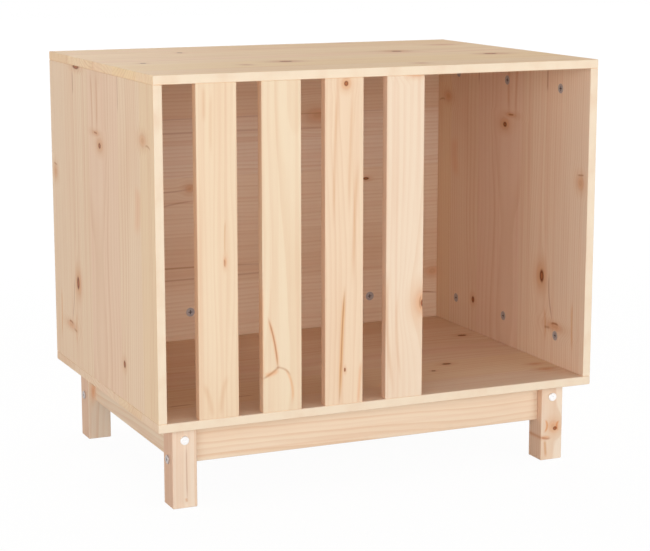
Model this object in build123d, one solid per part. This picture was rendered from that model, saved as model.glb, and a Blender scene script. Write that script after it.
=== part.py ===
from build123d import *
import os

# A dog house in solid pine: an open-fronted box of boards on a low base of legs and rails.
# X runs across the width, Y from the open front (-) to the back (+), and Z up from the floor.
# Every length is in millimetres.

# Overall size
width = 700.0
depth = 500.0
height = 620.0
base_height = 122.0

# Timber
board_thickness = 13.0
slat_width = 60.0
slat_thickness = 14.0
leg_side = 37.0
rail_height = 59.0
rail_thickness = 12.0
edge_easing = 0.8

# Front: upright slats from the left side board, then the open entrance
slat_count = 4
side_gap = 47.5
entrance_width = 277.0

# Base: how far the legs stand in from the box's faces
leg_inset = 30.0

# Rows of fixings in the ends of the upright boards, where cam fittings and dowels alternate
side_fixing_count = 5
side_fixing_margin = 85.0
back_fixing_count = 8
back_fixing_margin = 48.0

# Cam fittings: a round cam in a blind pocket grips the head of a screwed-in bolt
cam_diameter = 15.0
cam_height = 10.5
cam_clearance = 0.1
top_cam_reach = 37.0
bottom_cam_reach = 47.0
chamber_radius = 4.7
chamber_offset = 0.9
chamber_clearance = 0.2
slot_turn = 90.0
slot_overrun = 35.0
recess_length = 7.0
recess_width = 1.6
recess_depth = 2.0

# Cam bolts
cam_bolt_bore = 8.0
shank_diameter = 7.0
neck_diameter = 3.6
head_diameter = 6.2
head_length = 3.0
thread_diameter = 6.0
thread_length = 9.5
neck_clearance = 0.5

# Glued wooden dowels
dowel_diameter = 6.0
dowel_length = 30.0
dowel_depth_in_board = 10.0
dowel_depth_in_leg = 13.0
slat_dowel_spacing = 30.0
glue_gap = 1.0

# Joints of the base: at each rail end a bolt through the leg screws into a barrel nut in the
# rail, and a dowel beside it stops the rail from turning. Drops are from the top of the base.
side_rail_bolt_drop = 22.0
side_rail_dowel_drop = 40.0
long_rail_bolt_drop = 52.5
long_rail_dowel_drop = 34.0
bolt_diameter = 6.0
bolt_length = 68.0
bolt_clearance = 0.3
bolt_head_diameter = 13.0
bolt_head_height = 2.4
bolt_head_chamfer = 0.7
socket_flats = 4.0
socket_depth = 1.8
nut_diameter = 10.0
nut_length = 9.0
nut_set_in = 24.0
nut_slot_width = 1.2
nut_slot_depth = 1.2

# Screws that hold the box on the base, sunk into the underside of the rails
long_rail_screws = 3
side_rail_screws = 2
screw_margin = 83.0
screw_diameter = 4.0
screw_length = 35.0
screw_bite = 10.0
screw_tip = 4.0
screw_point_diameter = 0.8
screw_clearance = 0.2
screw_head_diameter = 7.6
screw_head_height = 2.4
counterbore_diameter = 8.4

# Levels and lines that the pieces share
floor_level = base_height + board_thickness
ceiling_level = height - board_thickness
clear_height = ceiling_level - floor_level
clear_width = width - 2 * board_thickness
side_line = (width - board_thickness) / 2
back_line = (depth - board_thickness) / 2
slat_line = -(depth - slat_thickness) / 2
leg_x = width / 2 - leg_inset - leg_side / 2
leg_y = depth / 2 - leg_inset - leg_side / 2
rail_middle = base_height - rail_height / 2
long_rail_length = 2 * leg_x - leg_side
side_rail_length = 2 * leg_y - leg_side


def eased_block(size, centre):
    """A planed block of timber, its edges eased."""
    block = Box(*size)
    return Pos(*centre) * chamfer(block.edges(), edge_easing)


def rod(diameter, start, direction, length):
    """A round rod, or the hole for one, from a point along a direction."""
    stock = Cylinder(diameter / 2, length, align=(Align.CENTER, Align.CENTER, Align.MIN))
    return Plane(origin=start, z_dir=direction) * stock


def turned(profile):
    """A solid turned about Z from (radius, height) points, lowest first."""
    outline = [(0, profile[0][1]), *profile, (0, profile[-1][1])]
    section = make_face(Polyline(*outline, close=True))
    return revolve(Plane.XZ * section, Axis.Z)


def on_each(planes, shape):
    """A copy of one shape on every plane."""
    return [plane * shape for plane in planes]


def row(length, margin, count):
    """Evenly spaced places along a piece, about its middle."""
    pitch = (length - 2 * margin) / (count - 1)
    return [(i - (count - 1) / 2) * pitch for i in range(count)]


def pair(spacing):
    """Two places, one each side of a middle."""
    return [-spacing / 2, spacing / 2]


# A joint plane has its origin where two pieces meet, Z out of the first piece's end into the
# second piece, and X towards the inside of the house.


def upright_joints(places, inward):
    """The joint planes at the top and at the bottom of upright pieces, from (x, y) places."""
    top = [Plane(origin=(x, y, ceiling_level), x_dir=inward, z_dir=(0, 0, 1)) for x, y in places]
    bottom = [Plane(origin=(x, y, floor_level), x_dir=inward, z_dir=(0, 0, -1)) for x, y in places]
    return top, bottom


def dowel(depth):
    """A dowel in its joint plane, set to a depth in the second piece."""
    return rod(dowel_diameter, (0, 0, depth), (0, 0, -1), dowel_length)


def dowel_hole_in_end(depth):
    """The hole for a dowel in the first piece, with room for glue behind it."""
    return rod(dowel_diameter, (0, 0, 0), (0, 0, -1), dowel_length - depth + glue_gap)


def dowel_hole_in_face(depth):
    """The hole for a dowel in the second piece, as deep as the dowel is set."""
    return rod(dowel_diameter, (0, 0, 0), (0, 0, 1), depth)


def head_seat():
    """How far from the cam's centre the bolt head's shoulder sits, once the cam is turned tight."""
    return (chamber_radius**2 - (head_diameter / 2) ** 2) ** 0.5 - chamber_offset - cam_clearance


def cam(reach):
    """A cam in its joint plane, turned tight on the bolt: its slot leads round to the bolt's neck."""
    entry_diameter = head_diameter + 2 * cam_clearance
    slot_height = neck_diameter + 2 * cam_clearance
    body = rod(cam_diameter - 2 * cam_clearance, (0, 0, 0), (0, 0, -1), cam_height)
    level = Pos(0, 0, -board_thickness / 2)
    chamber = Pos(-chamber_offset, 0, 0) * Cylinder(chamber_radius, entry_diameter + 2 * chamber_clearance)
    entry = rod(entry_diameter, (0, 0, 0), (0, 1, 0), cam_diameter)
    sweep = slot_turn + slot_overrun
    slot_sector = Cylinder(cam_diameter, slot_height, sweep, align=(Align.NONE, Align.NONE, Align.CENTER))
    slot = Rot(0, 0, -slot_overrun) * slot_sector
    groove = Box(recess_length, recess_width, 2 * recess_depth)
    recess = groove + Rot(0, 0, 90) * groove
    body -= level * (chamber + slot + entry) + recess
    return Plane(origin=(board_thickness / 2, 0, -reach), x_dir=(0, 0, 1), z_dir=(1, 0, 0)) * body


def cam_pocket(reach):
    """The pocket for a cam, sunk from the board's inner face."""
    return rod(cam_diameter, (board_thickness / 2, 0, -reach), (-1, 0, 0), cam_height)


def cam_bolt(reach):
    """A cam bolt in its joint plane: screwed into the second piece up to its shank."""
    shoulder = head_seat() - reach
    neck_end = cam_diameter / 2 + neck_clearance - reach
    profile = [
        (head_diameter / 2, shoulder - head_length),
        (head_diameter / 2, shoulder),
        (neck_diameter / 2, shoulder),
        (neck_diameter / 2, neck_end),
        (shank_diameter / 2, neck_end),
        (shank_diameter / 2, 0),
        (thread_diameter / 2, 0),
        (thread_diameter / 2, thread_length),
    ]
    return turned(profile)


def cam_bolt_way(reach):
    """The bore for a cam bolt, from the board's end to its cam."""
    return rod(cam_bolt_bore, (0, 0, 0), (0, 0, -1), reach)


def cam_bolt_hole():
    """The hole that a cam bolt screws into."""
    return rod(thread_diameter, (0, 0, 0), (0, 0, 1), thread_length)


def leg_bolt():
    """A leg bolt in its joint plane: its head bears on the leg's outer face."""
    rim = bolt_head_diameter / 2
    top = leg_side + bolt_head_height
    profile = [
        (bolt_diameter / 2, leg_side - bolt_length),
        (bolt_diameter / 2, leg_side),
        (rim, leg_side),
        (rim, top - bolt_head_chamfer),
        (rim - bolt_head_chamfer, top),
    ]
    socket = extrude(RegularPolygon(socket_flats / 2, 6, major_radius=False), -socket_depth)
    return turned(profile) - Pos(0, 0, top) * socket


def leg_bolt_way():
    """The bore for a leg bolt, right through the leg and into the rail's end."""
    bore = bolt_diameter + 2 * bolt_clearance
    return rod(bore, (0, 0, leg_side), (0, 0, -1), bolt_length + glue_gap)


def barrel_nut():
    """A barrel nut in its joint plane, with its screwdriver slot towards the inside."""
    nut = rod(nut_diameter, nut_seat(), (1, 0, 0), nut_length)
    face = nut_seat()[0] + nut_length
    slot = Pos(face, 0, -nut_set_in) * Box(2 * nut_slot_depth, nut_slot_width, nut_diameter)
    return nut - slot - rod(bolt_diameter, (0, 0, 0), (0, 0, -1), bolt_length)


def nut_seat():
    """The foot of the barrel nut: its threaded hole is level with the bolt."""
    return (-nut_length / 2, 0, -nut_set_in)


def nut_hole():
    """The hole for a barrel nut, blind, from the rail's inner face."""
    return rod(nut_diameter, nut_seat(), (1, 0, 0), rail_thickness)


def base_screw():
    """A screw that holds the box on a rail, upright, with its origin where rail and box meet."""
    seat = screw_bite - screw_length
    profile = [
        (screw_head_diameter / 2, seat - screw_head_height),
        (screw_head_diameter / 2, seat),
        (screw_diameter / 2, seat),
        (screw_diameter / 2, screw_bite - screw_tip),
        (screw_point_diameter / 2, screw_bite),
    ]
    return turned(profile)


def screw_way():
    """The hole for a base screw in a rail: a clearance hole, counterbored from below."""
    seat = screw_bite - screw_length
    shank_hole = rod(screw_diameter + 2 * screw_clearance, (0, 0, seat), (0, 0, 1), -seat)
    counterbore = rod(counterbore_diameter, (0, 0, -rail_height), (0, 0, 1), rail_height + seat)
    return shank_hole + counterbore


def screw_hole():
    """The hole that a base screw cuts in the underside of the box."""
    return rod(screw_diameter, (0, 0, 0), (0, 0, 1), screw_bite)


# Where each upright board's fixings are: cams on the even places, dowels on the odd ones
side_row = row(depth, side_fixing_margin, side_fixing_count)
back_row = row(clear_width, back_fixing_margin, back_fixing_count)
uprights = {
    "left_side_panel": ([(-side_line, s) for s in side_row], (1, 0, 0)),
    "right_side_panel": ([(side_line, s) for s in side_row], (-1, 0, 0)),
    "back_panel": ([(s, back_line) for s in back_row], (0, -1, 0)),
}
upright_sizes = {
    "left_side_panel": ((board_thickness, depth, clear_height), (-side_line, 0)),
    "right_side_panel": ((board_thickness, depth, clear_height), (side_line, 0)),
    "back_panel": ((clear_width, board_thickness, clear_height), (0, back_line)),
}
clear_middle = (floor_level + ceiling_level) / 2

leg_names = {
    (-1, -1): "leg_front_left",
    (1, -1): "leg_front_right",
    (-1, 1): "leg_rear_left",
    (1, 1): "leg_rear_right",
}

nodes = {}
top_holes = []
bottom_holes = []
top_cam_bolts = []
bottom_cam_bolts = []
top_dowels = []
bottom_dowels = []
leg_bolts = []
barrel_nuts = []
rail_dowels = []
base_screws = []


def make_upright(name):
    """One upright board with its cams, and the bolts and dowels at its two ends."""
    places, inward = uprights[name]
    size, centre = upright_sizes[name]
    board = eased_block(size, (*centre, clear_middle))
    cams = []
    cam_planes = upright_joints(places[0::2], inward)
    dowel_planes = upright_joints(places[1::2], inward)
    reaches = (top_cam_reach, bottom_cam_reach)
    bolts = (top_cam_bolts, bottom_cam_bolts)
    dowels = (top_dowels, bottom_dowels)
    holes = (top_holes, bottom_holes)
    for end in (0, 1):
        reach = reaches[end]
        board -= on_each(cam_planes[end], cam_pocket(reach) + cam_bolt_way(reach))
        board -= on_each(dowel_planes[end], dowel_hole_in_end(dowel_depth_in_board))
        cams += on_each(cam_planes[end], cam(reach))
        bolts[end].extend(on_each(cam_planes[end], cam_bolt(reach)))
        dowels[end].extend(on_each(dowel_planes[end], dowel(dowel_depth_in_board)))
        holes[end].extend(on_each(cam_planes[end], cam_bolt_hole()))
        holes[end].extend(on_each(dowel_planes[end], dowel_hole_in_face(dowel_depth_in_board)))
    nodes[name] = board
    nodes[name.replace("panel", "cams")] = Compound(cams)


def make_slats():
    """The upright slats of the front, evenly spaced up to the entrance, dowelled top and bottom."""
    first_edge = -clear_width / 2 + side_gap
    last_edge = clear_width / 2 - entrance_width
    slat_pitch = (last_edge - first_edge - slat_width) / (slat_count - 1)
    slat_top_dowels = []
    slat_bottom_dowels = []
    for i in range(slat_count):
        x = first_edge + slat_width / 2 + i * slat_pitch
        slat = eased_block((slat_width, slat_thickness, clear_height), (x, slat_line, clear_middle))
        places = [(x + s, slat_line) for s in pair(slat_dowel_spacing)]
        top, bottom = upright_joints(places, (0, 1, 0))
        slat -= on_each(top + bottom, dowel_hole_in_end(dowel_depth_in_board))
        slat_top_dowels.extend(on_each(top, dowel(dowel_depth_in_board)))
        slat_bottom_dowels.extend(on_each(bottom, dowel(dowel_depth_in_board)))
        top_holes.extend(on_each(top, dowel_hole_in_face(dowel_depth_in_board)))
        bottom_holes.extend(on_each(bottom, dowel_hole_in_face(dowel_depth_in_board)))
        nodes[f"front_slat_{i + 1}"] = slat
    nodes["slat_top_dowels"] = Compound(slat_top_dowels)
    nodes["slat_bottom_dowels"] = Compound(slat_bottom_dowels)


def make_legs():
    """The four legs, square and plain until the rails are joined to them."""
    for (x_sign, y_sign), name in leg_names.items():
        centre = (x_sign * leg_x, y_sign * leg_y, base_height / 2)
        nodes[name] = eased_block((leg_side, leg_side, base_height), centre)


def make_rail(name, facing, distance, length, bolt_drop, dowel_drop, screw_count):
    """A rail on the side of the base that it faces, joined to the legs at its two ends."""
    run = Vector(0, 0, 1).cross(facing)
    middle = facing * distance
    rail_plane = Plane(origin=middle + Vector(0, 0, rail_middle), x_dir=run)
    rail = rail_plane * eased_block((length, rail_thickness, rail_height), (0, 0, 0))
    for along in (run, -run):
        end = middle + along * (length / 2)
        corner = along + facing
        leg_name = leg_names[round(corner.X), round(corner.Y)]
        bolt_place = end + Vector(0, 0, base_height - bolt_drop)
        dowel_place = end + Vector(0, 0, base_height - dowel_drop)
        bolt_plane = Plane(origin=bolt_place, x_dir=-facing, z_dir=along)
        dowel_plane = Plane(origin=dowel_place, x_dir=-facing, z_dir=along)
        rail -= bolt_plane * (leg_bolt_way() + nut_hole())
        rail -= dowel_plane * dowel_hole_in_end(dowel_depth_in_leg)
        nodes[leg_name] -= bolt_plane * leg_bolt_way()
        nodes[leg_name] -= dowel_plane * dowel_hole_in_face(dowel_depth_in_leg)
        leg_bolts.append(bolt_plane * leg_bolt())
        barrel_nuts.append(bolt_plane * barrel_nut())
        rail_dowels.append(dowel_plane * dowel(dowel_depth_in_leg))
    screw_places = [middle + run * s for s in row(length, screw_margin, screw_count)]
    tops = [Plane(origin=place + Vector(0, 0, base_height)) for place in screw_places]
    nodes[name] = rail - on_each(tops, screw_way())
    base_screws.extend(on_each(tops, base_screw()))
    bottom_holes.extend(on_each(tops, screw_hole()))


def make_base():
    """Four legs joined by four rails, and the screws up into the box."""
    make_legs()
    long_joint = (long_rail_bolt_drop, long_rail_dowel_drop, long_rail_screws)
    side_joint = (side_rail_bolt_drop, side_rail_dowel_drop, side_rail_screws)
    make_rail("front_rail", Vector(0, -1, 0), leg_y, long_rail_length, *long_joint)
    make_rail("rear_rail", Vector(0, 1, 0), leg_y, long_rail_length, *long_joint)
    make_rail("left_rail", Vector(-1, 0, 0), leg_x, side_rail_length, *side_joint)
    make_rail("right_rail", Vector(1, 0, 0), leg_x, side_rail_length, *side_joint)
    nodes["rail_dowels"] = Compound(rail_dowels)
    nodes["leg_bolts"] = Compound(leg_bolts)
    nodes["barrel_nuts"] = Compound(barrel_nuts)
    nodes["base_screws"] = Compound(base_screws)


def make_top_and_bottom():
    """The boards above and below, drilled for everything that stands between or under them."""
    size = (width, depth, board_thickness)
    nodes["top_panel"] = eased_block(size, (0, 0, height - board_thickness / 2)) - top_holes
    nodes["bottom_panel"] = eased_block(size, (0, 0, base_height + board_thickness / 2)) - bottom_holes
    nodes["top_cam_bolts"] = Compound(top_cam_bolts)
    nodes["bottom_cam_bolts"] = Compound(bottom_cam_bolts)
    nodes["top_board_dowels"] = Compound(top_dowels)
    nodes["bottom_board_dowels"] = Compound(bottom_dowels)


for upright in uprights:
    make_upright(upright)
make_slats()
make_base()
make_top_and_bottom()

os.makedirs("parts", exist_ok=True)
for node, shape in nodes.items():
    export_step(shape, f"parts/{node}.step")
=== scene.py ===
import math

import bmesh
import bpy
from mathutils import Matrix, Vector


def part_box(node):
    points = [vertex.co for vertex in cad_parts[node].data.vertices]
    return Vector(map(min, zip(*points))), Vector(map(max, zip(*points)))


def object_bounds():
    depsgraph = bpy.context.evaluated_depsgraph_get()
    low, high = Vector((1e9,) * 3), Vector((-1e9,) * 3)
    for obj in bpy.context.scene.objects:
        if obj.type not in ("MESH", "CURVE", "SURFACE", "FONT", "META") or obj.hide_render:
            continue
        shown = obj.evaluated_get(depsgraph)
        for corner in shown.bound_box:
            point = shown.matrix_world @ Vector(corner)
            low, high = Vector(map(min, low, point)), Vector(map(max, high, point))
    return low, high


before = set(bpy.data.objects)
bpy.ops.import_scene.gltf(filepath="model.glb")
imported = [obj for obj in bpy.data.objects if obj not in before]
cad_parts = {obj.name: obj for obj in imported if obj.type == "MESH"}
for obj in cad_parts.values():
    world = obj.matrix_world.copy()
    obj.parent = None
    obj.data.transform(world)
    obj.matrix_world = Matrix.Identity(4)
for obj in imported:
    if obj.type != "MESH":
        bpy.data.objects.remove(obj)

cad_low, cad_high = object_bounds()
bpy.context.scene.view_settings.view_transform = "Standard"

# Where each timber lies, read from the frame. Patterns on the timber are laid out in millimetres.
MM = 0.001
FRONT_FACE = cad_low.y
FLOOR_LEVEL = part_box("bottom_panel")[1].z
CEILING_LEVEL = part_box("top_panel")[0].z
INNER_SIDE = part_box("right_side_panel")[0].x
INNER_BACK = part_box("back_panel")[0].y
LEG_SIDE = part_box("leg_front_right")[1].x

# How near to a face, in millimetres, a point counts as on it
ON_FACE = 0.5
ON_INNER_FACE = 0.2
ON_FLANK = 0.4
BELOW_FACE = 0.3

# The grain: how wide a growth ring is, in millimetres, and how a knot pulls the grain round it
RING_WIDTH = 6.2
KNOT_PULL = 0.85
PULL_REACH = 4.0

# The spans, in millimetres, that a colour ramp's 0 to 1 stands for
STAVE_SPAN = 1000.0
ASIDE_SPAN = 200.0
DEPTH_SPAN = 400.0


def tone(red, green, blue):
    """A colour from its screen values, 0 to 255, as the shaders count light."""
    shares = [value / 255 for value in (red, green, blue)]
    linear = [s / 12.92 if s <= 0.04045 else ((s + 0.055) / 1.055) ** 2.4 for s in shares]
    return (*linear, 1.0)


# The colours of the timber
BOARD_WOOD = tone(244, 218, 192)
# Painted light: a less yellow tone for the faces turned to the inside of the house
INNER_PAINTED_LIGHT = tone(243, 218, 197)
SLAT_WOOD = tone(240, 221, 198)
TOP_WOOD = tone(252, 223, 188)
BASE_WOOD = tone(240, 221, 200)
EDGE_WOOD = tone(241, 223, 198)
LATE_WOOD = tone(216, 168, 124)
# Painted shade: a darker, redder tint for the side faces of the slats and legs
FLANK_PAINTED_SHADE = tone(245, 227, 218)
KNOT_HALO = tone(224, 176, 136)
KNOT_CORE = tone(190, 120, 76)
KNOT_BARK = tone(132, 74, 46)
LIVE_KNOT = tone(226, 168, 126)
BEECH_WOOD = tone(222, 186, 148)

# What the grain's darker parts leave of the wood's own colour
RED_HEART = tone(236, 204, 184)
DARK_GRAIN = tone(232, 200, 168)
ORANGE_GRAIN = tone(246, 200, 160)
RESIN = tone(236, 194, 128)
BARK_LINE = tone(196, 148, 116)

# The tones of the staves that a board is glued up from
PLAIN = tone(255, 255, 255)
PALE = tone(255, 252, 246)
PINK = tone(254, 247, 243)
TAN = tone(250, 243, 234)
STRAW = tone(255, 251, 238)

# How a knot looks: how ragged it is, its halo and heart as (from, to, strength) in half sizes of the
# knot, and its rings
LIVE = {
    "ragged": 0.25,
    "halo": (0.8, 2.6, 0.4),
    "heart": (0.3, 1.4, 0.6),
    "rings": 8,
    "contrast": 0.35,
    "tones": (LIVE_KNOT, KNOT_CORE),
}
DEAD = {
    "ragged": 0.2,
    "halo": (0.9, 3.4, 0.5),
    "heart": (0.6, 1.3, 1.0),
    "rings": 7,
    "contrast": 0.8,
    "tones": (KNOT_BARK, KNOT_CORE),
}


class Field:
    """A value that changes over a surface: a shader node's output, used in expressions."""

    def __init__(self, finish, socket):
        self.finish = finish
        self.socket = socket

    def out(self, which):
        """Another output of the same node."""
        return Field(self.finish, self.socket.node.outputs[which])

    def math(self, operation, *others, first=None):
        values = [self, *others] if first is None else [first, self]
        return self.finish.node("ShaderNodeMath", {"operation": operation}, dict(enumerate(values)))

    def __add__(self, other):
        return self.math("ADD", other)

    __radd__ = __add__

    def __sub__(self, other):
        return self.math("SUBTRACT", other)

    def __rsub__(self, other):
        return self.math("SUBTRACT", first=other)

    def __mul__(self, other):
        return self.math("MULTIPLY", other)

    __rmul__ = __mul__

    def __truediv__(self, other):
        return self.math("DIVIDE", other)

    def ramp(self, low, high, start=0.0, end=1.0):
        """This value eased from start to end as it goes from low to high."""
        inputs = {0: self, 1: low, 2: high, 3: start, 4: end}
        return self.finish.node("ShaderNodeMapRange", {"interpolation_type": "SMOOTHSTEP"}, inputs)


class Finish:
    """A material, or the studio's own light, in the making."""

    def __init__(self, owner):
        owner.use_nodes = True
        self.owner = owner
        self.tree = owner.node_tree
        self.tree.nodes.clear()

    def node(self, kind, settings=None, inputs=None, output=0):
        """A node with its settings made and its sockets filled, as one of its outputs."""
        new = self.tree.nodes.new(kind)
        for key, value in (settings or {}).items():
            if key == "stops":
                self.set_stops(new.color_ramp, value)
            else:
                setattr(new, key, value)
        for key, value in (inputs or {}).items():
            if isinstance(value, Field):
                self.tree.links.new(value.socket, new.inputs[key])
            else:
                new.inputs[key].default_value = value
        return Field(self, new.outputs[output]) if new.outputs else None

    def set_stops(self, color_ramp, stops):
        """Fills a colour ramp from (place, colour) pairs that hold until the next place."""
        color_ramp.interpolation = "CONSTANT"
        while len(color_ramp.elements) < len(stops):
            color_ramp.elements.new(1.0)
        for element, (place, colour) in zip(color_ramp.elements, stops):
            element.position = place
            element.color = colour

    def mix(self, share, first, second, blend="MIX"):
        """Two colours mixed by a share from 0 to 1."""
        settings = {"data_type": "RGBA", "blend_type": blend}
        return self.node("ShaderNodeMix", settings, {0: share, 6: first, 7: second}, output=2)

    def tinted(self, colour, tint):
        """A colour darkened by what the tint leaves of it."""
        return self.mix(1.0, colour, tint, blend="MULTIPLY")

    def vector(self, operation, *values, output=0):
        """A sum on vectors."""
        inputs = dict(enumerate(values))
        return self.node("ShaderNodeVectorMath", {"operation": operation}, inputs, output)

    def noise(self, place, lengths, seed, detail=2.0):
        """Soft noise from -1 to 1 with its own length in each direction, in millimetres."""
        scale = tuple(1 / length for length in lengths)
        inputs = {"Vector": self.vector("MULTIPLY_ADD", place, scale, (seed, 2 * seed, 0.0))}
        inputs.update({"Scale": 1.0, "Detail": detail, "Roughness": 0.5})
        return self.node("ShaderNodeTexNoise", {}, inputs) * 2 - 1

    def in_millimetres(self, origin):
        """Where a point is from an origin, and the point itself as the scene has it, in metres."""
        spot = self.node("ShaderNodeTexCoord", output="Object")
        offset = tuple(-c / MM for c in origin)
        return self.vector("MULTIPLY_ADD", spot, (1 / MM, 1 / MM, 1 / MM), offset), spot

    def split(self, vector):
        """A vector's three numbers."""
        parts = self.node("ShaderNodeSeparateXYZ", inputs={0: vector})
        return [parts.out(i) for i in range(3)]

    def surface(self, colour, roughness, metallic=0.0, normal=None, specular=0.5):
        """The finished surface, joined to the material's output."""
        inputs = {"Base Color": colour, "Roughness": roughness, "Metallic": metallic}
        inputs["Specular IOR Level"] = specular
        if normal is not None:
            inputs["Normal"] = normal
        shader = self.node("ShaderNodeBsdfPrincipled", {}, inputs)
        self.node("ShaderNodeOutputMaterial", {}, {"Surface": shader})
        return self.owner


def line_share(finish, place, start, end, bow, width):
    """How strongly a line in the wood shows. It runs between two points, bowed, and its ends fade."""
    (u0, v0), (u1, v1) = start, end
    du, dv = u1 - u0, v1 - v0
    length = math.hypot(du, dv)
    from_start = finish.vector("SUBTRACT", place, (u0, v0, 0.0))
    along = (du / length**2, dv / length**2, 0.0)
    aside = (-dv / length, du / length, 0.0)
    s = finish.vector("DOT_PRODUCT", from_start, along, output="Value")
    q = finish.vector("DOT_PRODUCT", from_start, aside, output="Value")
    off_line = (q - s * (1 - s) * (4 * bow)).math("ABSOLUTE")
    ends = s.ramp(0.0, 0.25) * s.ramp(0.7, 1.0, 1.0, 0.0)
    return off_line.ramp(0.0, width, 1.0, 0.0) * ends


def spot_reach(finish, place, along, across, half_length, half_width):
    """How far a point is from a spot's middle, as a share of the spot's own half size."""
    scale = (1 / half_length, 1 / half_width, 0.0)
    offset = (-along * scale[0], -across * scale[1], 0.0)
    scaled = finish.vector("MULTIPLY_ADD", place, scale, offset)
    return finish.vector("LENGTH", scaled, output="Value")


def nearest(reaches):
    """The least of several distances."""
    least = reaches[0]
    for reach in reaches[1:]:
        least = least.math("MINIMUM", reach)
    return least


def stave_values(finish, across, staves):
    """The tone of the stave at a place, its pith's two distances and its first ring."""
    low = staves[0][0]
    tones = []
    piths = []
    for limit, stave_tone, aside, depth, first_ring in staves:
        start = (limit - low) / STAVE_SPAN
        tones.append((start, stave_tone))
        piths.append((start, (aside / ASIDE_SPAN + 0.5, depth / DEPTH_SPAN + 0.5, first_ring, 1.0)))
    stave_place = (across - low) / STAVE_SPAN
    stave_tone = finish.node("ShaderNodeValToRGB", {"stops": tones}, {0: stave_place})
    pith = finish.node("ShaderNodeValToRGB", {"stops": piths}, {0: stave_place})
    aside, depth, first_ring = finish.split(pith)
    return stave_tone, (aside - 0.5) * ASIDE_SPAN, (depth - 0.5) * DEPTH_SPAN, first_ring


def late_wood(finish, place, aside, depth, first_ring, waver, seed):
    """How far a point is into its ring's darker late wood, from its distances from the pith."""
    bend = finish.noise(place, (520.0, 200.0, 200.0), 3.1 + seed, detail=1.0)
    sway = finish.noise(place, (420.0, 300.0, 300.0), 5.3 + seed, detail=1.0)
    aside = aside + bend * 14 + waver * 1.4
    depth = depth + sway * 14
    radius = (aside * aside + depth * depth).math("SQRT")
    ring_count = radius / RING_WIDTH + first_ring * 5 + waver * 0.2
    ring = ring_count.math("FRACT")
    number = {"W": ring_count.math("FLOOR")}
    strength = finish.node("ShaderNodeTexWhiteNoise", {"noise_dimensions": "1D"}, number, output="Value")
    return ring.ramp(0.3, 0.88) * ring.ramp(0.9, 1.0, 1.0, 0.0) * (strength * 0.7 + 0.3)


def with_knots(finish, colour, reaches, waver, look):
    """Adds the knots of one kind: a halo, and a heart with rings of its own."""
    if not reaches:
        return colour
    reach = nearest(reaches) + waver * look["ragged"]
    colour = finish.mix(reach.ramp(*look["halo"], 0.0), colour, KNOT_HALO)
    swirl = (reach * look["rings"]).math("SINE").ramp(-1.0, 1.0)
    heart = finish.mix(swirl * look["contrast"], *look["tones"])
    return finish.mix(reach.ramp(*look["heart"], 0.0), colour, heart)


def painted_light_inside_share(finish, spot):
    """1 on the faces that are turned to the inside of the house, which get a painted light tint, less
    yellow.
    """
    slack = ON_INNER_FACE * MM
    x, y, z = finish.split(spot)
    share = x.math("ABSOLUTE").math("LESS_THAN", INNER_SIDE + slack)
    share = share * y.math("LESS_THAN", INNER_BACK + slack)
    share = share * z.math("GREATER_THAN", FLOOR_LEVEL - slack)
    return share * z.math("LESS_THAN", CEILING_LEVEL + slack)


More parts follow.
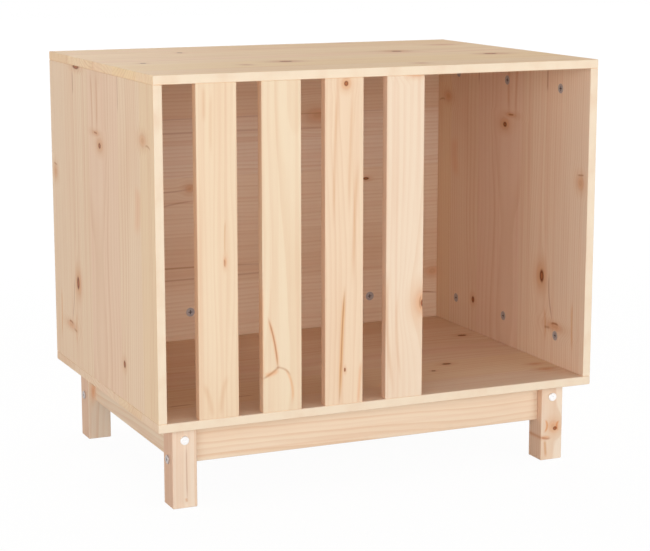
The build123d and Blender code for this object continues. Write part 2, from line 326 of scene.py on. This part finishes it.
def pine(name, axes, centre, wood, staves, dead_knots=(), live_knots=(), swerves=(), lines=(), *,
         seed=0.0, front=0.0, shaded_flanks=0.0, grain=1.0, inner=False):
    """Solid pine. axes names the directions along, across and through the board, and -1 turns one.

    staves are (lower limit, tone, pith aside, pith depth, first ring) across the board. Knots and
    swerves of the grain are (along, across, half length, half width), and lines are
    (tone, strength, start, end, bow, width). front is how much paler the board's front edge is,
    flanks is how far from the middle its side faces lie, which get a painted shade, darker and
    redder, grain is how strongly the rings show, and an inner board gets a painted light tint, less
    yellow, on the faces that are turned to the inside.
    """
    finish = Finish(bpy.data.materials.new(name))
    in_mm, spot = finish.in_millimetres(centre)
    xyz = finish.split(in_mm)
    picked = [xyz["XYZ".index(axis)] * sign for axis, sign in axes]
    across, through = picked[1:]
    place = finish.node("ShaderNodeCombineXYZ", {}, dict(enumerate(picked)))
    waver = finish.noise(place, (110.0, 16.0, 16.0), 7.7 + seed)

    # The grain swerves round each knot
    dead = [spot_reach(finish, place, *knot) for knot in dead_knots]
    live = [spot_reach(finish, place, *knot) for knot in live_knots]
    wide = [spot_reach(finish, place, *swerve) for swerve in swerves]
    swerved = across
    for spots, reaches in ((dead_knots, dead), (live_knots, live), (swerves, wide)):
        for (_, aside, _, _), reach in zip(spots, reaches):
            pull = reach.ramp(0.0, PULL_REACH, KNOT_PULL, 0.0)
            swerved = swerved - (swerved - aside) * pull

    # Colour: staves, broad streaks, rings and fine fibres
    stave_tone, pith_aside, pith_depth, first_ring = stave_values(finish, across, staves)
    from_pith = (swerved - pith_aside, through - pith_depth)
    late = late_wood(finish, place, *from_pith, first_ring, waver, seed)
    streak = finish.noise(place, (800.0, 10.0, 30.0), 11.9 + seed, detail=3.0)
    fibre = finish.noise(place, (38.0, 0.7, 0.7), 1.3 + seed)
    patch = finish.noise(place, (300.0, 60.0, 60.0), 21.0 + seed, detail=1.0)
    # Painted light: the inside faces get a less yellow tone, standing in for the light inside the house
    if inner:
        wood = finish.mix(painted_light_inside_share(finish, spot), wood, INNER_PAINTED_LIGHT)
    colour = finish.tinted(wood, stave_tone)
    red_share = patch.ramp(-0.1, 0.9) * 0.3 + streak.ramp(-0.1, 0.7) * 0.4
    colour = finish.mix(red_share, colour, finish.tinted(colour, RED_HEART))
    colour = finish.mix(late * (0.36 * grain), colour, LATE_WOOD)
    colour = finish.mix(fibre.ramp(-0.2, 1.0) * 0.13, colour, LATE_WOOD)

    # Knots and lines
    colour = with_knots(finish, colour, live, waver, LIVE)
    colour = with_knots(finish, colour, dead, waver, DEAD)
    for line_tone, strength, start, end, bow, width in lines:
        share = line_share(finish, place, start, end, bow, width)
        colour = finish.mix(share * strength, colour, finish.tinted(colour, line_tone))

    # Paler front edges, and side faces darkened and reddened as a painted shade
    if front:
        limit = (FRONT_FACE - centre[1]) / MM + ON_FACE
        cross = finish.noise(in_mm, (34.0, 60.0, 34.0), 31.0 + seed, detail=4.0)
        redder = finish.tinted(EDGE_WOOD, RED_HEART)
        edge = finish.mix(cross.ramp(-0.2, 0.9) * 0.45, EDGE_WOOD, redder)
        colour = finish.mix(xyz[1].math("LESS_THAN", limit) * front, colour, edge)
    # Painted shade: the side faces are darkened and reddened
    if shaded_flanks:
        on_shaded_flank = across.math("ABSOLUTE").math("GREATER_THAN", shaded_flanks - ON_FLANK)
        colour = finish.mix(on_shaded_flank, colour, finish.tinted(colour, FLANK_PAINTED_SHADE))

    roughness = late * 0.06 + fibre * 0.05 + 0.6
    relief = {"Strength": 0.18, "Distance": 0.0003, "Height": late * 0.3 + fibre * 0.5}
    normal = finish.node("ShaderNodeBump", {}, relief)
    return finish.surface(colour, roughness, normal=normal, specular=0.2)


def cover(node, material):
    """Gives a CAD piece its finish."""
    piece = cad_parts[node]
    if not piece.material_slots:
        piece.data.materials.append(material)
    for slot in piece.material_slots:
        slot.material = material


def middle(node):
    """The middle of a CAD piece, in metres."""
    low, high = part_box(node)
    return (low + high) / 2


def half_width(node):
    """Half of a CAD piece's width, in millimetres."""
    return (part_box(node)[1].x - middle(node).x) / MM


# The side boards are alike: the right one is the left one turned round.
side_staves = [
    (-260.0, STRAW, 20.0, -90.0, 0.1),
    (-190.0, PALE, -40.0, 110.0, 0.5),
    (-93.0, PINK, 10.0, -150.0, 0.3),
    (47.0, PALE, -25.0, 120.0, 0.8),
    (127.0, PALE, 30.0, -80.0, 0.6),
]
side_dead_knots = [
    (270.0, 121.0, 11.0, 6.5),
    (498.0, -5.0, 4.5, 6.0),
    (606.0, 107.0, 4.0, 17.0),
    (190.0, -104.0, 6.0, 5.0),
]
side_live_knots = [
    (270.0, 116.0, 18.0, 13.0),
    (499.0, -6.0, 10.0, 15.0),
    (515.0, 12.0, 4.0, 18.0),
    (196.0, 164.0, 6.0, 22.0),
    (527.0, -202.0, 9.0, 14.0),
    (432.0, 229.0, 11.0, 10.0),
]
side_swerves = [(270.0, 118.0, 60.0, 14.0), (505.0, 4.0, 50.0, 16.0)]
side_lines = [
    (BARK_LINE, 0.75, (622.0, -94.0), (550.0, -94.0), 0.0, 1.8),
    (BARK_LINE, 0.5, (600.0, 126.0), (560.0, 126.0), 0.0, 4.0),
    (BARK_LINE, 0.6, (282.0, 144.0), (200.0, 158.0), 6.0, 2.6),
    (BARK_LINE, 0.8, (516.0, 24.0), (515.0, 4.0), 0.0, 2.2),
    (BARK_LINE, 0.8, (200.0, 176.0), (198.0, 150.0), 2.0, 3.0),
    (BARK_LINE, 0.55, (192.0, 150.0), (190.0, 130.0), 0.0, 3.5),
    (DARK_GRAIN, 0.5, (610.0, 7.0), (512.0, 7.0), 2.0, 6.0),
    (DARK_GRAIN, 0.5, (610.0, 35.0), (505.0, 30.0), 3.0, 6.0),
    (BARK_LINE, 0.5, (520.0, -212.0), (516.0, -236.0), 3.0, 2.6),
    (BARK_LINE, 0.6, (445.0, 240.0), (443.0, 218.0), 0.0, 2.2),
    (RESIN, 0.5, (250.0, 214.0), (160.0, 218.0), 2.0, 5.0),
    (RESIN, 0.4, (225.0, 130.0), (165.0, 134.0), -3.0, 5.0),
    (ORANGE_GRAIN, 0.3, (465.0, -176.0), (385.0, -166.0), 6.0, 22.0),
]

for node, turn in (("left_side_panel", 1), ("right_side_panel", -1)):
    centre = middle(node)
    centre.z = 0.0
    axes = (("Z", 1), ("Y", turn), ("X", 1))
    features = (side_dead_knots, side_live_knots, side_swerves, side_lines)
    side = pine(node + "_pine", axes, centre, BOARD_WOOD, side_staves, *features, front=0.9, inner=True)
    cover(node, side)

top_staves = [
    (-260.0, PALE, 20.0, -90.0, 0.1),
    (-180.0, STRAW, -40.0, 110.0, 0.5),
    (-75.0, PALE, 10.0, -150.0, 0.3),
    (-20.0, PINK, -25.0, 120.0, 0.8),
    (18.0, PALE, 25.0, 90.0, 0.2),
    (150.0, TAN, 30.0, -80.0, 0.6),
]
top_dead_knots = [
    (-174.0, 132.0, 5.0, 6.0),
    (-294.0, -45.0, 5.0, 5.0),
    (-90.0, -95.0, 11.0, 8.0),
    (260.0, -80.0, 11.0, 8.0),
    (150.0, 25.0, 9.0, 9.0),
]
top_live_knots = [
    (-167.0, -130.0, 8.0, 10.0),
    (287.0, 132.0, 22.0, 13.0),
    (155.0, 238.0, 14.0, 9.0),
    (77.0, -205.0, 10.0, 9.0),
    (270.0, -80.0, 22.0, 12.0),
    (150.0, 25.0, 22.0, 18.0),
    (-90.0, -95.0, 22.0, 14.0),
]
panel_axes = (("X", 1), ("Y", 1), ("Z", 1))
centre = Vector((0.0, 0.0, middle("top_panel").z))
features = (top_dead_knots, top_live_knots)
settings = {"front": 0.9, "inner": True}
top = pine("top_pine", panel_axes, centre, TOP_WOOD, top_staves, *features, seed=2.0, **settings)
cover("top_panel", top)

floor_dead_knots = [(305.0, 82.0, 8.0, 5.0), (185.0, -90.0, 8.0, 5.0), (145.0, -123.0, 4.0, 3.0)]
floor_live_knots = [(312.0, -183.0, 14.0, 9.0), (313.0, -147.0, 12.0, 7.0)]
floor_lines = [
    (BARK_LINE, 0.6, (-310.0, -164.0), (-262.0, -162.0), 1.0, 4.0),
    (BARK_LINE, 0.5, (-215.0, -147.0), (-160.0, -148.0), 0.0, 4.0),
]
centre = Vector((0.0, 0.0, middle("bottom_panel").z))
features = (floor_dead_knots, floor_live_knots, (), floor_lines)
bottom = pine("bottom_pine", panel_axes, centre, BOARD_WOOD, top_staves, *features, seed=5.0, **settings)
cover("bottom_panel", bottom)

back_staves = [
    (130.0, PALE, 20.0, -90.0, 0.1),
    (227.0, TAN, -40.0, 110.0, 0.5),
    (307.0, PALE, 10.0, -50.0, 0.3),
    (404.0, PLAIN, -25.0, 120.0, 0.8),
    (504.0, TAN, 30.0, -80.0, 0.6),
]
back_dead_knots = [(198.0, 388.0, 6.0, 2.4)]
back_live_knots = [(-122.0, 389.0, 8.0, 7.0), (108.0, 500.0, 22.0, 12.0), (328.0, 217.0, 14.0, 9.0)]
back_lines = [
    (BARK_LINE, 0.4, (-400.0, 504.0), (400.0, 504.0), 0.0, 1.6),
    (BARK_LINE, 0.4, (-190.0, 386.0), (-118.0, 389.0), -2.0, 2.2),
    (BARK_LINE, 0.4, (-180.0, 359.0), (-112.0, 368.0), 2.0, 2.2),
    (BARK_LINE, 0.5, (-400.0, 256.0), (60.0, 252.0), 4.0, 2.4),
    (BARK_LINE, 0.4, (-400.0, 240.0), (160.0, 244.0), -4.0, 2.4),
    (BARK_LINE, 0.3, (-360.0, 480.0), (260.0, 476.0), 3.0, 2.4),
    (BARK_LINE, 0.6, (260.0, 180.0), (345.0, 176.0), 4.0, 2.4),
]
centre = Vector((0.0, middle("back_panel").y, 0.0))
back_axes = (("X", 1), ("Z", 1), ("Y", 1))
features = (back_dead_knots, back_live_knots, (), back_lines)
back = pine("back_pine", back_axes, centre, BOARD_WOOD, back_staves, *features, inner=True)
cover("back_panel", back)

# Each slat is one piece of wood: its (tone, pith aside, pith depth, first ring), then its dead
# knots, live knots, swerves of the grain and lines.
upright_axes = (("Z", 1), ("X", 1), ("Y", 1))
slats = {
    "front_slat_1": (
        (tone(254, 248, 238), 90.0, 55.0, 0.3),
        [],
        [(358.0, 11.0, 8.0, 2.4)],
        [(357.0, 11.0, 44.0, 6.0)],
        [
            (BARK_LINE, 0.6, (363.0, 10.0), (350.0, 10.5), 0.0, 1.7),
            (DARK_GRAIN, 0.5, (420.0, 12.0), (362.0, 11.0), 1.0, 2.2),
            (DARK_GRAIN, 0.3, (606.0, -18.0), (550.0, -18.0), 0.0, 5.0),
            (DARK_GRAIN, 0.25, (600.0, -7.0), (500.0, -8.0), 1.0, 4.0),
            (DARK_GRAIN, 0.3, (190.0, -24.0), (132.0, -10.0), -3.0, 6.0),
            (DARK_GRAIN, 0.3, (200.0, 14.0), (132.0, 2.0), 3.0, 6.0),
        ],
    ),
    "front_slat_2": (
        (tone(254, 251, 242), 24.0, 64.0, 0.8),
        [],
        [],
        [(174.0, -6.0, 62.0, 15.0)],
        [
            (ORANGE_GRAIN, 0.5, (277.0, -23.0), (190.0, -6.5), -3.3, 4.5),
            (BARK_LINE, 0.7, (277.0, -23.0), (190.0, -6.5), -3.3, 2.0),
            (BARK_LINE, 0.5, (184.0, -33.0), (204.0, -2.0), 2.0, 2.8),
            (BARK_LINE, 0.45, (200.0, -13.0), (184.0, 14.0), -5.0, 2.6),
            (ORANGE_GRAIN, 0.55, (190.0, -29.0), (197.0, -4.0), 2.0, 6.0),
            (ORANGE_GRAIN, 0.5, (201.0, 2.0), (140.0, 14.0), -7.0, 3.6),
            (ORANGE_GRAIN, 0.35, (330.0, -29.5), (160.0, -29.5), 0.0, 3.0),
        ],
    ),
    "front_slat_3": (
        (tone(254, 245, 236), -88.0, 52.0, 0.1),
        [(599.0, 2.5, 3.6, 3.2), (186.0, 1.3, 3.2, 1.4)],
        [(599.0, 2.5, 8.0, 7.0)],
        [(599.0, 2.5, 30.0, 6.0), (187.0, 1.5, 22.0, 4.0)],
        [
            (RESIN, 0.6, (316.0, 1.5), (126.0, -6.5), 1.5, 5.0),
            (BARK_LINE, 0.6, (312.0, 1.5), (176.0, -4.4), 1.5, 1.7),
            (BARK_LINE, 0.4, (208.0, -4.6), (126.0, -8.0), 0.0, 2.0),
            (ORANGE_GRAIN, 0.5, (200.0, 27.0), (124.0, 22.0), 0.0, 4.0),
            (DARK_GRAIN, 0.4, (500.0, 22.0), (300.0, 14.0), 2.0, 5.0),
            (DARK_GRAIN, 0.4, (606.0, -10.0), (380.0, -16.0), 2.0, 4.0),
            (DARK_GRAIN, 0.4, (604.0, 14.0), (400.0, 8.0), 2.0, 4.0),
        ],
    ),
    "front_slat_4": (
        (tone(255, 251, 248), 72.0, 88.0, 0.6),
        [(274.0, 29.5, 6.0, 3.4)],
        [(609.0, 17.0, 5.0, 12.0), (275.0, 28.0, 20.0, 12.0)],
        [(275.0, 28.0, 36.0, 9.0)],
        [
            (ORANGE_GRAIN, 0.8, (606.0, 0.0), (606.0, 32.0), -4.0, 3.0),
            (BARK_LINE, 0.5, (288.0, 29.0), (262.0, 29.0), 4.0, 2.0),
            (DARK_GRAIN, 0.35, (340.0, -24.0), (130.0, -14.0), 8.0, 5.0),
            (DARK_GRAIN, 0.3, (300.0, -10.0), (150.0, -2.0), 6.0, 4.0),
        ],
    ),
}
for node, (heart, *features) in slats.items():
    centre = middle(node)
    centre.z = 0.0
    stave = [(-40.0, *heart)]
    # The slats' side faces get a painted shade
    settings = {"seed": 7.0 * heart[-1], "shaded_flanks": half_width(node), "grain": 0.6}
    cover(node, pine(node + "_pine", upright_axes, centre, SLAT_WOOD, stave, *features, **settings))

# Each leg's pith aside, dead knots, live knots, swerves of the grain and lines
leg_features = {
    "leg_front_left": (
        82.0,
        [],
        [],
        [],
        [
            (BARK_LINE, 0.5, (100.0, 3.0), (2.0, 3.5), 0.5, 2.0),
            (DARK_GRAIN, 0.7, (15.0, 1.0), (8.0, 3.0), 0.0, 3.0),
        ],
    ),
    "leg_front_right": (
        -9.0,
        [(49.0, 6.0, 3.4, 3.6)],
        [(53.0, 3.0, 9.0, 8.0), (36.0, -12.0, 2.5, 8.0)],
        [(50.0, 4.0, 14.0, 8.0)],
        [
            (BARK_LINE, 0.6, (38.0, -20.0), (34.0, 0.0), 2.0, 2.8),
            (ORANGE_GRAIN, 0.9, (66.0, -12.0), (42.0, -14.0), -5.0, 3.0),
            (ORANGE_GRAIN, 0.9, (62.0, 14.0), (44.0, 12.0), 4.0, 3.0),
            (DARK_GRAIN, 0.8, (34.0, -12.0), (2.0, -9.0), 0.0, 4.0),
        ],
    ),
    "leg_rear_left": (-74.0, [], [(78.0, -10.0, 12.0, 3.0)], [], []),
    "leg_rear_right": (76.0, [], [], [], []),
}
for node, (pith_aside, *features) in leg_features.items():
    centre = middle(node)
    centre.z = 0.0
    stave = [(-30.0, PLAIN, pith_aside, 70.0, 0.3)]
    # The legs' side faces get a painted shade
    settings = {"seed": pith_aside, "shaded_flanks": half_width(node)}
    cover(node, pine(node + "_pine", upright_axes, centre, BASE_WOOD, stave, *features, **settings))

for node in ("front_rail", "rear_rail", "left_rail", "right_rail"):
    run, side = ("X", "Y") if node in ("front_rail", "rear_rail") else ("Y", "X")
    rail_axes = ((run, 1), ("Z", 1), (side, 1))
    stave = [(-40.0, PALE, -86.0, 60.0, 0.3)]
    cover(node, pine(node + "_pine", rail_axes, middle(node), BASE_WOOD, stave, seed=4.0))


def metal(name, colour, mottle_and_shade_colour, roughness, metallic, painted_shade_place):
    """Cast or plated metal with a faint mottle. dull says where the metal is darkened as a painted
    shade.
    """
    finish = Finish(bpy.data.materials.new(name))
    in_mm, _ = finish.in_millimetres((0.0, 0.0, 0.0))
    x, y, _ = finish.split(in_mm)
    mottle = finish.noise(in_mm, (2.0, 2.0, 2.0), 1.0, detail=3.0)
    tint = finish.mix(mottle.ramp(-0.6, 0.8) * 0.25, colour, mottle_and_shade_colour)
    # Painted shade where the mask says, in the same darker colour as the mottle
    tint = finish.mix(painted_shade_place(x.math("ABSOLUTE"), y), tint, mottle_and_shade_colour)
    return finish.surface(tint, mottle * 0.06 + roughness, metallic)


def under_the_face(x, y):
    """The cams' cross recesses, which lie behind the boards' inner faces and get a painted shade."""
    in_side = x.math("GREATER_THAN", INNER_SIDE / MM + BELOW_FACE)
    in_back = y.math("GREATER_THAN", INNER_BACK / MM + BELOW_FACE)
    return in_side.math("MAXIMUM", in_back)


def on_the_sides(x, y):
    """Whatever lies past the legs' outer sides, such as the bolt heads that bear on them, which get a
    painted shade.
    """
    return x.math("GREATER_THAN", LEG_SIDE / MM) * 0.85


# The cams get a painted shade in their recesses
zinc = metal("cast_zinc", tone(190, 180, 180), tone(96, 84, 80), 0.5, 0.25, under_the_face)
plate = metal("zinc_plate", tone(200, 202, 206), tone(150, 152, 156), 0.3, 1.0, on_the_sides)
bright = metal("bright_plate", tone(250, 250, 250), tone(176, 164, 160), 0.3, 0.5, on_the_sides)
for node in ("left_side_cams", "right_side_cams", "back_cams"):
    cover(node, zinc)
for node in ("top_cam_bolts", "bottom_cam_bolts", "barrel_nuts", "base_screws"):
    cover(node, plate)
# The leg bolts' heads on the legs' sides get a painted shade
cover("leg_bolts", bright)
beech = pine("beech", upright_axes, Vector((0, 0, 0)), BEECH_WOOD, [(-400.0, PLAIN, 12.0, 60.0, 0.3)])
board_dowels = ("top_board_dowels", "bottom_board_dowels")
slat_dowels = ("slat_top_dowels", "slat_bottom_dowels")
for node in (*board_dowels, *slat_dowels, "rail_dowels"):
    cover(node, beech)

# The camera, as near as a camera without shift comes to how the photograph was framed
PHOTO_WIDTH = 650.0  # pixels
FOCAL_LENGTH = 1890.1  # pixels
SENSOR_WIDTH = 36.0
CAMERA_PLACE = (-1.1769, -2.6628, 0.8335)
CAMERA_DIP = 10.844  # degrees below level
CAMERA_TURN = 24.119  # degrees towards the right of straight back

camera = bpy.data.objects.new("camera", bpy.data.cameras.new("camera"))
bpy.context.scene.collection.objects.link(camera)
bpy.context.scene.camera = camera
camera.location = CAMERA_PLACE
camera.rotation_euler = (math.radians(90 - CAMERA_DIP), 0.0, math.radians(-CAMERA_TURN))
camera.data.sensor_width = SENSOR_WIDTH
camera.data.lens = FOCAL_LENGTH / PHOTO_WIDTH * SENSOR_WIDTH


def seen_directly(finish):
    """1 where the camera, a gloss or a clear surface looks straight at it."""
    path = finish.node("ShaderNodeLightPath")
    seen = path.out("Is Camera Ray").math("MAXIMUM", path.out("Is Glossy Ray"))
    return seen.math("MAXIMUM", path.out("Is Transmission Ray"))


# A pale floor that shows white, keeps a trace of the shadow near the house and none far from it
floor_mesh = bpy.data.meshes.new("floor")
sheet = bmesh.new()
bmesh.ops.create_grid(sheet, x_segments=1, y_segments=1, size=12.0)
sheet.to_mesh(floor_mesh)
sheet.free()
floor = bpy.data.objects.new("floor", floor_mesh)
bpy.context.scene.collection.objects.link(floor)
finish = Finish(bpy.data.materials.new("pale_floor"))
matt = finish.node("ShaderNodeBsdfDiffuse", {}, {"Color": (0.8, 0.8, 0.8, 1.0)})
white = finish.node("ShaderNodeEmission", {}, {"Color": (1.0, 1.0, 1.0, 1.0), "Strength": 1.03})
spot = finish.node("ShaderNodeTexCoord", output="Object")
distance = finish.vector("LENGTH", spot, output="Value")
share = seen_directly(finish) * distance.ramp(1.0, 4.0, 0.93, 1.0)
both = finish.node("ShaderNodeMixShader", {}, {0: share, 1: matt, 2: white})
finish.node("ShaderNodeOutputMaterial", {}, {"Surface": both})
floor_mesh.materials.append(finish.owner)

# An even fill light all round, behind which the background shows white
FILL = 0.31
bpy.context.scene.world = bpy.data.worlds.new("studio")
sky = Finish(bpy.context.scene.world)
seen = seen_directly(sky)
strength = seen * (1.0 - FILL) + FILL
background = sky.node("ShaderNodeBackground", {}, {"Color": (1.0, 1.0, 1.0, 1.0), "Strength": strength})
sky.node("ShaderNodeOutputWorld", {}, {"Surface": background})


LAMP_SIZE = 2.4
LAMP_DISTANCE = 4.0
AIM = Vector((0.0, 0.0, 0.35))


def softbox(name, azimuth, height, power, distance=LAMP_DISTANCE):
    """A large square lamp, aimed at the middle of the house. Azimuth 0 is straight in front."""
    lamp = bpy.data.lights.new(name, "AREA")
    lamp.shape = "SQUARE"
    lamp.size = LAMP_SIZE
    lamp.energy = power
    holder = bpy.data.objects.new(name, lamp)
    bpy.context.scene.collection.objects.link(holder)
    angle = math.radians(azimuth)
    holder.location = (distance * math.sin(angle), -distance * math.cos(angle), height)
    holder.rotation_euler = (AIM - holder.location).to_track_quat("-Z", "Y").to_euler()


softbox("front_softbox", -10.0, 0.55, 42.0)
softbox("front_right_softbox", 35.0, 0.6, 60.0)
softbox("front_left_softbox", -45.0, 0.6, 58.0)
softbox("left_softbox", -88.0, 0.9, 21.0)
softbox("right_softbox", 105.0, 0.9, 30.0)
softbox("back_softbox", 180.0, 0.9, 45.0)
softbox("top_softbox", 170.0, 3.6, 24.0, distance=1.4)
